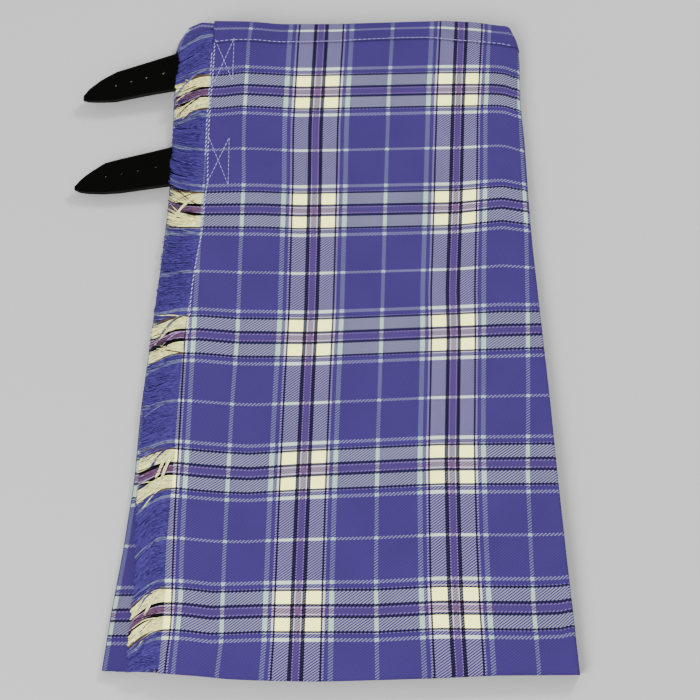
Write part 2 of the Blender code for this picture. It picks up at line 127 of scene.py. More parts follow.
# Straps: x, lower edge y, upper edge y, from the sewn root to the tip
UPPER_STRAP = [
    (-106.0, 261.5, 300.0),
    (-127.0, 262.0, 300.0),
    (-155.0, 257.4, 296.6),
    (-182.0, 254.0, 288.4),
    (-212.0, 249.0, 279.6),
    (-225.0, 249.2, 272.2),
    (-236.0, 250.0, 262.4),
    (-240.4, 251.6, 255.6),
]
LOWER_STRAP = [
    (-106.0, 164.0, 203.4),
    (-127.0, 164.6, 203.8),
    (-158.0, 162.2, 200.8),
    (-180.0, 159.8, 195.8),
    (-203.0, 157.4, 191.0),
    (-217.0, 157.2, 187.4),
    (-231.0, 158.2, 177.4),
    (-240.0, 160.2, 168.4),
    (-242.1, 162.2, 164.6),
]
UPPER_HOLES = [-212.6, -199.1, -185.7, -170.7]
LOWER_HOLES = [-215.7, -202.0, -187.7, -172.0]
# Piece, node, table, holes, share of the width at which they lie, height of the tip
STRAPS = [
    ("upper_strap", "strap_upper", UPPER_STRAP, UPPER_HOLES, 0.55, 12.0),
    ("lower_strap", "strap_lower", LOWER_STRAP, LOWER_HOLES, 0.56, 9.0),
]
HANG_X = -134.0                     # from here outwards the straps sink
HOLE_HALF, HOLE_SHARE_HALF, HOLE_CORNER = 0.95, 0.042, 0.58
STRAP_COLUMNS, STRAP_WIDE = 30, 35.0
SHARES_BELOW, SHARES_ABOVE = [0.0, 0.06, 0.2, 0.35], [0.75, 0.94, 1.0]
EDGE_ROUND, EDGE_SEGMENTS, EDGE_ANGLE = 0.45, 2, 50.0

# The check: one repeat is 120 mm each way
REPEAT = 120.0
BAND_COLUMN, BAND_ROW = -33.8, 12.9     # the middle of one dark double stripe, each way
WARP_THREADS, WEFT_THREADS = 156, 204   # in one repeat
TWILL_THREADS, WARP_UP = 4, 0.49        # the weave's own repeat, and how much of it shows warp
# How far each upright line of the check strays to the right: its x, then y and drift
COLUMN_DRIFT = [
    (-134.6, [(-280, -1.0), (-262, -0.1), (-250, 1.1), (-235, 1.8), (-213, 1.0), (-180, 0.0),
              (-147, -0.9), (102, -2.3)]),
    (-126.6, [(-280, -2.6), (-250, -1.3), (-235, -0.4), (-213, 0.4), (-187, -1.0),
              (-115, -1.5), (102, -2.3)]),
    (-93.8, [(-280, -2.1), (-252, 0.1), (-208, -0.8), (-134, -1.4), (-47, -1.1), (17, 0.3),
             (93, -0.7), (167, -1.1), (199, -2.8), (225, -3.7), (306, -3.4), (325, -1.4)]),
    (-33.8, [(-280, -1.6), (-126, -0.8), (-24, -0.1), (39, 1.1), (152, 0.0), (217, -1.2),
             (323, 1.1)]),
    (26.2, [(-280, 1.4), (-208, -0.9), (-127, -1.8), (-73, -1.7), (32, -0.4), (252, 1.4),
            (320, 3.9)]),
    (86.2, [(-277, 4.5), (-258, 3.2), (-225, 1.5), (-202, 0.4), (-167, -0.7), (-101, -2.3),
            (13, -1.2), (53, -2.5), (140, -0.1), (177, 0.5), (233, 1.6), (319, 4.3)]),
    (113.4, [(-275, 4.5), (-226, 1.3), (-169, -1.2), (-82, -3.4), (77, -2.5), (163, -1.3),
             (227, -1.1), (313, 3.2)]),
    (146.2, [(-275, 4.5), (-226, 1.1), (-169, -0.8), (-112, -2.3), (-46, -1.1), (37, -0.8),
             (113, -1.3), (144, -2.5), (179, -4.4), (221, -6.8), (236, -8.9)]),
]
# How far each level line strays towards the waist: its y, then x and drift
ROW_DRIFT = [
    (-227.1, [(-130, 1.8), (-120, 0.9), (-103, -1.4), (-93, -1.2), (-65, -0.2), (25, -1.0),
              (75, 1.5), (146, 0.3), (168, 1.0), (176, 3.0)]),
    (-107.1, [(-137, 2.3), (-118, -0.1), (-99, -1.8), (-78, -3.3), (-39, -0.8), (24, 1.6),
              (74, 3.5), (122, 2.9), (166, 2.7)]),
    (12.9, [(-125, 3.8), (-93, 0.3), (-33, -1.4), (25, 0.1), (74, 1.5), (130, 3.0),
            (156, 3.3)]),
    (132.9, [(-118, 3.4), (-80, 2.7), (-46, 0.3), (86, 0.0), (125, 4.0), (146, -0.4)]),
    (252.9, [(-119, 2.8), (-101, 4.7), (-85, 3.4), (-52, 0.2), (-33, -0.2), (65, -0.6),
             (88, -1.1), (119, -2.0), (129, -3.8), (135, -7.0), (139, -10.2)]),
]
BAND_PATTERN_START = 0.375              # the band is cut from another place of the cloth
UNDER_SHIFT = 7.0                       # and so is the under apron
UNDER_LINE, PALE_LINE = 2.5, 0.5        # a pale line runs this far in from its left fold

# Yarn colours, linear. Cream is clear only where it crosses cream, and has colours of its
# own where warp or weft crosses other yarns
BLUE = (0.0247, 0.0146, 0.0858)
PALE_WARP = (0.167, 0.242, 0.250)
PALE_WEFT = (0.417, 0.550, 0.480)
CREAM = (0.970, 0.960, 0.300)
CREAM_WARP = (0.350, 0.430, 0.345)
CREAM_WEFT = (0.720, 1.080, 0.510)
BLACK = (0.0015, 0.0014, 0.0018)
VIOLET = (0.071, 0.036, 0.088)
PINKISH = (0.340, 0.225, 0.410)
OAT = (0.350, 0.317, 0.400)
STITCH_WHITE = (0.400, 0.367, 0.667)
TUFT_BLUE = (0.048, 0.032, 0.170)
TUFT_PALE = (0.110, 0.122, 0.225)
TUFT_CREAM = (0.800, 0.800, 0.330)
TUFT_MAUVE = (0.110, 0.052, 0.105)
TUFT_BROWN = (0.085, 0.052, 0.028)
TUFT_BLACK = (0.0030, 0.0030, 0.0033)

# From the middle of the double stripe outwards: where a colour ends, in repeats
WARP_STRIPES = [
    (0.018, VIOLET), (0.026, PINKISH), (0.0515, BLACK), (0.148, CREAM_WARP),
    (0.158, BLACK), (0.168, OAT), (0.199, BLUE), (0.227, PALE_WARP), (0.4865, BLUE),
    (0.5, PALE_WARP),
]
WEFT_STRIPES = [
    (0.018, VIOLET), (0.026, PINKISH), (0.047, BLACK), (0.137, CREAM_WEFT),
    (0.150, BLACK), (0.157, OAT), (0.187, BLUE), (0.212, PALE_WEFT), (0.4865, BLUE),
    (0.5, PALE_WEFT),
]
FRINGE_STRIPES = [
    (0.018, TUFT_MAUVE), (0.026, PINKISH), (0.047, TUFT_BLACK), (0.137, TUFT_CREAM),
    (0.150, TUFT_BROWN), (0.157, TUFT_PALE), (0.187, TUFT_BLUE), (0.212, TUFT_PALE),
    (0.4865, TUFT_BLUE), (0.5, TUFT_PALE),
]
WARP_CREAM, WEFT_CREAM = (0.0515, 0.148), (0.047, 0.137)
LIGHT_SHARE, DARK_SHARE = 0.40, -0.15   # how much a yarn takes on of the one it crosses; below zero, the dark share is painted shade on a dark yarn over a lighter one
GROUND = (0.0050, 0.0033, 0.0170)       # the least that shows through between two yarns
# Painted light and shade in the colour: in the groove between two yarns, and on the floats of warp
# and of weft
GROOVE_LIGHT, WARP_LIGHT, WEFT_LIGHT = 0.70, 1.30, 0.95
# Slow unevenness of the dye: size, detail, strength and lowest value
DYE_SCALE, DYE_DETAIL, DYE_PLAY, DYE_LEAST = 3.0, 5.0, 0.30, 0.85
UNDER_SHADE, BAND_SHADE = 0.8, 0.92     # painted shade: the under apron and the band are coloured a little darker
WEAVE_RELIEF = (0.35, 0.2 * MM)
WORSTED = {"Roughness": 0.82, "Specular IOR Level": 0.06, "Sheen Weight": 0.03,
           "Sheen Roughness": 0.5}

# Fringe yarn and sewing thread: painted shade in the hollows of the twist, and fuzz
YARN_SHADOW = (0.34, 0.32, 0.40)
FUZZ_SCALE, FUZZ_DETAIL, FUZZ_CONTRAST, FUZZ_START = 9.0, 3.0, 3.2, -1.0
YARN_RELIEF = (0.4, 0.2 * MM)
YARN = {"Roughness": 0.85, "Specular IOR Level": 0.06}

# Strap leather: fine grain, broad scuffs, and a painted highlight along the cut edges
LEATHER_BLACK, LEATHER_EDGE_HIGHLIGHT = (0.0009, 0.0011, 0.0008), (0.012, 0.012, 0.011)
GRAIN_SCALE, GRAIN_RELIEF = 900.0, (0.35, 0.4 * MM)
SCUFF_SCALE, SCUFF_DETAIL, SCUFF_RELIEF = 60.0, 6.0, 0.6
SCUFF_DULL, LEATHER_GLOSS, EDGE_HIGHLIGHT_FROM = 0.25, 0.36, 0.455
STRAP_LEATHER = {"Specular IOR Level": 0.015}

FLOOR_PALE = (0.325, 0.325, 0.325, 1.0)
FLOOR_MATT = {"Roughness": 0.95, "Specular IOR Level": 0.0}

# Camera, in table coordinates
CAMERA_PLACE = (162.218, -899.426, 1740.378)
CAMERA_PITCH, CAMERA_YAW, CAMERA_ROLL = 27.416, 5.368, 1.556
CAMERA_FOCAL = 2387.75                  # in pixels of a picture 700 wide
PICTURE, SENSOR = 700.0, 36.0
SIGHT_PLANE = 14.0                      # the check's lines were measured at this height


def smooth(low, high, value):
    """0 below low, 1 above high, and a soft step between."""
    t = min(max((value - low) / (high - low), 0.0), 1.0)
    return t * t * (3.0 - 2.0 * t)


def mix(a, b, share):
    """A value between two others."""
    return a + (b - a) * share


def read_table(table, key, column):
    """A column's value at a place between the table's rows."""
    if key <= table[0][0]:
        return table[0][column]
    for low, high in zip(table, table[1:]):
        if key <= high[0]:
            share = (key - low[0]) / (high[0] - low[0])
            return mix(low[column], high[column], share)
    return table[-1][column]


def evenly(start, end, count):
    return [mix(start, end, i / (count - 1)) for i in range(count)]


def outline(y, column):
    return read_table(OUTLINE, y, column)


def place(x, y, z):
    """A point of the table in the part's own metres."""
    return Vector((x - MIDDLE_X, y - MIDDLE_Y, z)) * MM


def place_y(ends, x, y):
    """The real y of a nominal row, between the hem and the waist edge at this x."""
    share = (y - HEM_Y) / (WAIST_Y - HEM_Y)
    return mix(read_table(ends, x, 1), read_table(ends, x, 2), share)


def hem_tuck(y, z):
    """Lower plies end a little higher up the skirt."""
    depth = max(0.0, 1.0 - z / UNDER_LOW)
    return HEM_TUCK * depth * max(0.0, (PLEAT_ROWS[1] - y) / (PLEAT_ROWS[1] - HEM_Y))


def waist_rise(y):
    return smooth(*WAIST_RISE, y)


def band_lift(y):
    return BAND_STEP * smooth(*BAND_LIFT, y)


def under_level(y):
    return mix(UNDER_LOW, UNDER_WAIST, waist_rise(y))


def seam_x(y, side):
    """Where a side's return meets the pleated back, straight between the pleats' rows."""
    def at_row(row):
        if side == "right":
            return outline(row, RIGHT) - outline(row, RIGHT_CORNER) - RIGHT_RETURN
        return outline(row, LEFT) + outline(row, LEFT_CORNER) + LEFT_RETURN
    return read_table([(row, at_row(row)) for row in PLEAT_ROWS], y, 1)


def shown_width(y):
    """How much of each pleat shows."""
    return (seam_x(y, "right") - seam_x(y, "left") - LAST_SHOWN) / PLEATS


def ramp_ends(y):
    """Where the under apron's climb from the left side starts and ends."""
    return outline(y, LEFT) + SIDE_RAMP, seam_x(y, "left") + shown_width(y) - 2.0 * GAP


def under_height(x, y):
    """Middle of the under apron's cloth: level, and falling towards the left side."""
    low, high = ramp_ends(y)
    share = min(max((x - low) / (high - low), 0.0), 1.0)
    return mix(mix(SIDE_LOW, SIDE_WAIST, waist_rise(y)), under_level(y), share)


def front_height(x, y):
    """Middle of the front apron's cloth: waves, a raised edge and a sagging shoulder."""
    inside = x - outline(y, EDGE)
    level = under_level(y) + mix(FRONT_OVER_LOW, FRONT_OVER_WAIST, waist_rise(y))
    level += EDGE_LIFT * (1.0 - smooth(*LIFT_FALL, inside))
    drift = WAVE_SWING * math.sin(math.tau * (y + WAVE_START) / WAVE_DRIFT)
    ripple = math.sin(math.tau * (x + WAVE_START) / WAVE_LENGTH + drift)
    flatter = (1.0 - waist_rise(y)) * mix(HEM_SHARE, 1.0, smooth(*HEM_CALM, y))
    level += WAVE * (1.0 - ripple) * flatter * smooth(*WAVE_FADE, inside)
    sag = smooth(*SHOULDER_RUN, x) * smooth(*SHOULDER_CLIMB, y)
    return level - SHOULDER_SAG * sag


def arc(centre_x, centre_z, radius, start, end, steps):
    """Points on an arc, angles in degrees, counted anticlockwise from +X."""
    points = []
    for angle in evenly(start, end, steps + 1):
        turn = math.radians(angle)
        points.append((centre_x + radius * math.cos(turn), centre_z + radius * math.sin(turn)))
    return points


def front_path(y):
    """Across the front from the fringed edge, round the right side and in under it."""
    fold = outline(y, RIGHT) - CLOTH / 2
    corner = outline(y, RIGHT_CORNER)
    floor = FLOOR_PLY + band_lift(y)
    level = front_height(fold - corner, y)
    corner = min(corner, (level - floor) / 2 - STRAIGHT_SIDE / 2)
    level = front_height(fold - corner, y)
    flat = evenly(outline(y, EDGE), fold - corner, FRONT_COLUMNS)
    points = [(x, front_height(x, y)) for x in flat]
    points += arc(fold - corner, level - corner, corner, 90, 0, CORNER_STEPS)[1:]
    points += arc(fold - corner, floor + corner, corner, 0, -90, CORNER_STEPS)
    points.append((seam_x(y, "right") + GAP, floor))
    return points


def under_path(y):
    """Across the under apron from its hidden edge, round the left side and in under it."""
    fold = outline(y, LEFT) + CLOTH / 2
    floor = FLOOR_PLY + band_lift(y)
    level = under_height(fold, y)
    corner = min(outline(y, LEFT_CORNER), (level - floor) / 2 - STRAIGHT_SIDE / 2)
    low, high = ramp_ends(y)
    points = [(x, under_level(y)) for x in evenly(UNDER_FREE_X, high, UNDER_COLUMNS)]
    points += [(x, under_height(x, y)) for x in evenly(high, fold + corner, RAMP_COLUMNS)[1:]]
    level = points[-1][1]
    points += arc(fold + corner, level - corner, corner, 90, 180, CORNER_STEPS)[1:]
    points += arc(fold + corner, floor + corner, corner, 180, 270, CORNER_STEPS)
    points.append((seam_x(y, "left") - GAP, floor))
    return points


def pleat_path(y):
    """One ribbon folded into knife pleats: out along the surface, back, and out again."""
    start = seam_x(y, "left")
    shown = shown_width(y)
    floor = FLOOR_PLY + band_lift(y)

    def level(plies):
        return floor + PLY_PITCH * plies

    half = PLY_PITCH / 2
    points = [(start, floor)]
    for pleat in range(PLEATS):
        fold = start + shown * (pleat + 1)
        steps = min(pleat + 1, DEPTH_RATIO)
        below = [2 * min(pleat, step) for step in range(steps + 1)]
        inner = fold - shown * steps + INNER_CLEAR
        uneven = range(1, steps) if pleat < DEPTH_RATIO else []
        points += arc(fold - half, level(0.5), half, -90, 90, FOLD_STEPS)
        points += [(fold - shown * step, level(1 + below[step])) for step in uneven]
        points += arc(inner, level(1.5 + below[-1]), half, 270, 90, FOLD_STEPS)
        points += [(fold - shown * step, level(2 + below[step])) for step in reversed(uneven)]
        for step, plies in DROP_STEPS:
            points.append((fold + PLEAT_DROP * step, level(plies)))
    points.append((seam_x(y, "right"), floor))
    return points


def drift(table, along, across):
    """A line's stray at one place, between the two lines nearest to it."""
    values = [(line, read_table(stray, across, 1)) for line, stray in table]
    return read_table(values, along, 1)


def seen_place(x, y, z):
    """Where a point shows on the level plane on which the check's lines were measured."""
    eye_x, eye_y, eye_z = CAMERA_PLACE
    share = (eye_z - SIGHT_PLANE) / (eye_z - z)
    return mix(eye_x, x, share), mix(eye_y, y, share)


def check_place(x, y, z):
    """Place in the check, in repeats, of a point on the upper side of the front."""
    x, y = seen_place(x, y, z)
    across = x - drift(COLUMN_DRIFT, x, y) - BAND_COLUMN
    along = y - drift(ROW_DRIFT, y, x) - BAND_ROW
    return across / REPEAT, along / REPEAT


def walked(points):
    """Distance along a section from its start to each of its points."""
    lengths = [0.0]
    for (x0, z0), (x1, z1) in zip(points, points[1:]):
        lengths.append(lengths[-1] + math.hypot(x1 - x0, z1 - z0))
    return lengths


# Making sheets and threads

def new_piece(name, mesh, material, node=None):
    """A piece on the garment's one body, which may take a node's place."""
    piece = bpy.data.objects.new(name, mesh)
    bpy.context.scene.collection.objects.link(piece)
    mesh.materials.append(material)
    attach(piece, "root")
    if node:
        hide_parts(node)
    return piece


def sheet_mesh(name, rows, places):
    """A grid whose points are the rows of places in space and in the check."""
    across = len(rows[0]) - 1
    along = len(rows) - 1
    bm = bmesh.new()
    bmesh.ops.create_grid(bm, x_segments=across, y_segments=along, size=0.5)
    weave = bm.loops.layers.uv.new("weave")
    spots = {}
    for vert in bm.verts:
        column = round((vert.co.x + 0.5) * across)
        row = round((vert.co.y + 0.5) * along)
        vert.co = place(*rows[row][column])
        spots[vert] = places[row][column]
    for face in bm.faces:
        for loop in face.loops:
            loop[weave].uv = spots[loop.vert]
    mesh = bpy.data.meshes.new(name)
    bm.to_mesh(mesh)
    bm.free()
    mesh.shade_smooth()
    return mesh


def add_wall(piece, thickness):
    """Half of the wall goes to each side of the sheet."""
    wall = piece.modifiers.new("Wall", "SOLIDIFY")
    wall.thickness = thickness * MM
    wall.offset = 0.0
    wall.use_even_offset = True
    wall.use_quality_normals = True


def front_section(y, ends):
    """A section of the front with its places in the check."""
    section = front_path(y)
    lengths = walked(section)
    points = []
    places = []
    for number, (x, z) in enumerate(section):
        points.append((x, place_y(ends, x, y) + hem_tuck(y, z), z))
        if number < FRONT_COLUMNS:
            places.append(check_place(*points[-1]))
        else:
            more = (lengths[number] - lengths[FRONT_COLUMNS - 1]) / REPEAT
            places.append((places[FRONT_COLUMNS - 1][0] + more, places[FRONT_COLUMNS - 1][1]))
    return points, places


def under_section(y, ends):
    """A section of the under apron, whose check is counted from the left fold."""
    section = under_path(y)
    lengths = walked(section)
    points = [(x, place_y(ends, x, y) + hem_tuck(y, z), z) for x, z in section]
    fold = lengths[UNDER_COLUMNS + RAMP_COLUMNS - 1 + CORNER_STEPS // 2]
    along = (y - BAND_ROW + UNDER_SHIFT) / REPEAT
    places = [(PALE_LINE + (fold - UNDER_LINE - length) / REPEAT, along) for length in lengths]
    return points, places


def pleat_section(y, ends):
    """A section of the pleats: each takes up one repeat, so all show the same stripe."""
    section = pleat_path(y)
    taken = shown_width(y) * (1 + 2 * DEPTH_RATIO)
    points = [(x, place_y(ends, x, y) + hem_tuck(y, z), z) for x, z in section]
    along = (y - BAND_ROW) / REPEAT
    return points, [(length / taken, along) for length in walked(section)]


def cloth_panel(name, section, ends, row_list, material, node):
    """A cloth wall through its sections, one for each nominal row."""
    made = [section(y, ends) for y in row_list]
    mesh = sheet_mesh(name, [points for points, _ in made], [places for _, places in made])
    piece = new_piece(name, mesh, material, node)
    add_wall(piece, WALL)
    return piece


def path_normals(points):
    """Outward steps of a section's path, drawn out at its corners to keep one distance."""
    sides = []
    for (x0, z0), (x1, z1) in zip(points, points[1:]):
        along = Vector((x1 - x0, z1 - z0)).normalized()
        sides.append(Vector((-along.y, along.x)))
    normals = [sides[0]]
    for before, after in zip(sides, sides[1:]):
        middle = (before + after).normalized()
        normals.append(middle / middle.dot(after))
    return normals + [sides[-1]]


def band_piece(name, rows, across, material, node):
    """A band through its rows, which run over the waist edge from one face to the other."""
    run = 0.0
    places = []
    for number, row in enumerate(rows):
        if number:
            before = rows[number - 1][0]
            run += abs(row[0][1] - before[1]) + abs(row[0][2] - before[2])
        places.append([(place_across, BAND_PATTERN_START + run / REPEAT)
                       for place_across in across[number]])
    piece = new_piece(name, sheet_mesh(name, rows, places), material, node)
    add_wall(piece, WALL)
    return piece


BAND_ROWS = [BAND_Y, 305.0, 308.0, 311.0, 314.0, 317.0, WAIST_Y]
BAND_TURNS = [30.0, 60.0, 90.0, 120.0, 150.0, 180.0]
# x, how far the band's lower edge dips below its nominal line
BAND_DIP = [
    (-127.0, 4.7), (-112.0, 2.2), (-90.0, 1.3), (-53.0, 1.3), (-20.0, 0.5), (7.0, -0.4),
    (37.0, -0.9), (60.0, -0.5), (73.0, 0.9), (89.0, 2.6), (109.0, 2.2), (124.0, 1.4),
    (134.0, 3.1),
]
LEVEL_DIP = [(0.0, 0.0)]


def folded_band(name, path, section, ends, outside, dips, material, node):
    """A strip over a panel's top edge, made from the panel's own points, moved out."""
    legs = [(y, 0.0) for y in BAND_ROWS]
    legs += [(WAIST_Y, angle) for angle in BAND_TURNS]
    legs += [(y, 180.0) for y in reversed(BAND_ROWS[:-1])]
    rows = []
    across = []
    for y, turn in legs:
        points, spots = section(y, ends)
        out = math.cos(math.radians(turn)) * BAND_OUT * outside
        dipping = (WAIST_Y - y) / (WAIST_Y - BAND_Y)
        up = math.sin(math.radians(turn)) * BAND_OUT
        row = []
        for (x, real_y, z), normal in zip(points, path_normals(path(y))):
            dip = read_table(dips, x, 1) * dipping
            row.append((x + normal.x * out, real_y + up - dip, z + normal.y * out))
        rows.append(row)
        across.append([place_across for place_across, _ in spots])
    return band_piece(name, rows, across, material, node)


def stack_height(x, y):
    """Middle of the pleats' highest ply, lower near the first folds and past the last."""
    left, right = seam_x(y, "left"), seam_x(y, "right")
    shown = shown_width(y)
    corners = [
        (left, PLY_PITCH * 2 * DEPTH_RATIO),
        (left + shown, PLY_PITCH * (2 + 2 * DEPTH_RATIO)),
        (right - LAST_SHOWN - shown, PLY_PITCH * (2 + 2 * DEPTH_RATIO)),
        (right, PLY_PITCH * LAST_PLIES),
    ]
    return FLOOR_PLY + BAND_STEP + read_table(corners, x, 1)


BACK_COLUMNS = 60
BACK_OUTS = [0.0, 0.5, 1.0, 1.0, 1.0, 0.5, 0.0]     # how far past the waist each row lies


def back_band(name, material, node):
    """The band over the stack of pleats: under it, up its end and back over its top."""
    rows = []
    for leg, out in enumerate(BACK_OUTS):
        y = WAIST_Y if out else BAND_Y
        row = []
        for x in evenly(seam_x(y, "left"), seam_x(y, "right"), BACK_COLUMNS):
            top = stack_height(x, y) + BAND_STEP
            middle = (FLOOR_PLY + top) / 2
            low = FLOOR_PLY + BAND_STEP / 2
            high = top - BAND_STEP / 2
            level = (FLOOR_PLY, FLOOR_PLY, low, middle, high, top, top)[leg]
            row.append((x, place_y(BACK_ENDS, x, y) + out * BAND_STEP, level))
        rows.append(row)
    across = [[(x - BAND_COLUMN) / REPEAT for x, _, _ in row] for row in rows]
    return band_piece(name, rows, across, material, node)


THREAD_STEP = 1.618         # sets each thread apart from the last in the yarn's own pattern


def draw_threads(name, paths, widths, values, material):
    """Many threads of four sides, drawn out together, one step of every thread at a time."""
    bm = bmesh.new()
    bmesh.ops.create_grid(bm, x_segments=1, y_segments=len(paths), size=0.5)
    bmesh.ops.split_edges(bm, edges=bm.edges[:])
    number = bm.verts.layers.int.new("thread")
    share = bm.verts.layers.float.new("share")
    faces = sorted(bm.faces, key=lambda face: face.calc_center_median().y)
    for index, face in enumerate(faces):
        for vert in face.verts:
            vert[number] = index
    steps = len(paths[0])
    for step in range(steps):
        if step:
            faces = bmesh.ops.extrude_discrete_faces(bm, faces=faces)["faces"]
        for face in faces:
            path = paths[face.verts[0][number]]
            ahead = path[min(step + 1, steps - 1)]
            behind = path[max(step - 1, 0)]
            along = Vector(ahead) - Vector(behind)
            side = along.cross(Vector((0.0, 0.0, 1.0)))
            side = side.normalized() if side.length > 1e-6 else Vector((1.0, 0.0, 0.0))
            rise = side.cross(along).normalized()
            for corner, vert in enumerate(face.verts):
                turn = math.radians(45.0 + 90.0 * corner)
                reach = side * math.cos(turn) + rise * math.sin(turn)
                vert.co = place(*(Vector(path[step]) + reach * widths[step]))
                vert[share] = step / (steps - 1)
    bmesh.ops.holes_fill(bm, edges=bm.edges[:], sides=4)
    bmesh.ops.recalc_face_normals(bm, faces=bm.faces[:])
    weave = bm.loops.layers.uv.new("weave")
    for face in bm.faces:
        for loop in face.loops:
            thread = loop.vert[number]
            loop[weave].uv = (loop.vert[share] + THREAD_STEP * thread, values[thread])
    mesh = bpy.data.meshes.new(name)
    bm.to_mesh(mesh)
    bm.free()
    mesh.shade_smooth()
    return new_piece(name, mesh, material)


# Materials

def start_material(name):
    material = bpy.data.materials.new(name)
    material.use_nodes = True
    return material, material.node_tree


def node(tree, kind, **settings):
    made = tree.nodes.new(kind)
    for key, value in settings.items():
        setattr(made, key, value)
    return made


def sums(tree, operation, first, second=None, third=None):
    """A Math node; each value is a number or another node's output."""
    made = node(tree, "ShaderNodeMath", operation=operation)
    for socket, value in zip(made.inputs, (first, second, third)):
        if isinstance(value, (int, float)):
            socket.default_value = value
        elif value is not None:
            tree.links.new(value, socket)
    return made.outputs[0]


def blend_colours(tree, share, first, second, kind="MIX"):
    """A colour mix; share and colours are values or outputs."""
    made = node(tree, "ShaderNodeMix", data_type="RGBA", blend_type=kind)
    for socket, value in zip((made.inputs[0], made.inputs[6], made.inputs[7]),
                             (share, first, second)):
        if isinstance(value, (int, float)):
            socket.default_value = value
        elif isinstance(value, tuple):
            socket.default_value = (*value, 1.0)
        else:
            tree.links.new(value, socket)
    return made.outputs[2]


def stripes(tree, value, table):
    """The colour of a thread by its place in the repeat, mirrored at its middle."""
    folded = sums(tree, "PINGPONG", value, 0.5)
    ramp = node(tree, "ShaderNodeValToRGB")
    ramp.color_ramp.interpolation = "CONSTANT"
    tree.links.new(sums(tree, "MULTIPLY", folded, 2.0), ramp.inputs[0])
    elements = ramp.color_ramp.elements
    while len(elements) < len(table):
        elements.new(0.5)
    start = 0.0
    for element, (end, colour) in zip(elements, table):
        element.position = start
        element.color = (*colour, 1.0)
        start = end * 2.0
    return ramp.outputs[0]


def weave_map(tree):
    """A piece's own map of its yarns, whole and as its two parts."""
    weave = node(tree, "ShaderNodeUVMap", uv_map="weave").outputs[0]
    parts = node(tree, "ShaderNodeSeparateXYZ")
    tree.links.new(weave, parts.inputs[0])
    return weave, parts.outputs[0], parts.outputs[1]


def noise(tree, vector, scale, detail):
    made = node(tree, "ShaderNodeTexNoise")
    made.inputs["Scale"].default_value = scale
    made.inputs["Detail"].default_value = detail
    tree.links.new(vector, made.inputs["Vector"])
    return made.outputs[0]


def finish(tree, colour, height, relief, gloss):
    """A surface's colour and relief, with relief's strength and depth, and its own gloss."""
    shader = tree.nodes["Principled BSDF"]
    tree.links.new(colour, shader.inputs["Base Color"])
    bump = node(tree, "ShaderNodeBump")
    bump.inputs["Strength"].default_value, bump.inputs["Distance"].default_value = relief
    tree.links.new(height, bump.inputs["Height"])
    tree.links.new(bump.outputs[0], shader.inputs["Normal"])
    for socket, value in gloss.items():
        shader.inputs[socket].default_value = value
    return shader


def within(tree, value, ends):
    """1 where a thread lies between two places of the mirrored repeat."""
    folded = sums(tree, "PINGPONG", value, 0.5)
    middle, reach = (ends[0] + ends[1]) / 2, (ends[1] - ends[0]) / 2
    return sums(tree, "COMPARE", folded, middle, reach)


def tinted(tree, own, other, share):
    """A yarn's colour with a share of the colour of the yarn it crosses; a share below zero moves
    it away from that colour.
    """
    powers = []
    for colour, power in ((own, 1.0 - share), (other, share)):
        gamma = node(tree, "ShaderNodeGamma")
        gamma.inputs["Gamma"].default_value = power
        tree.links.new(colour, gamma.inputs["Color"])
        powers.append(gamma.outputs[0])
    return blend_colours(tree, 1.0, powers[0], powers[1], "MULTIPLY")


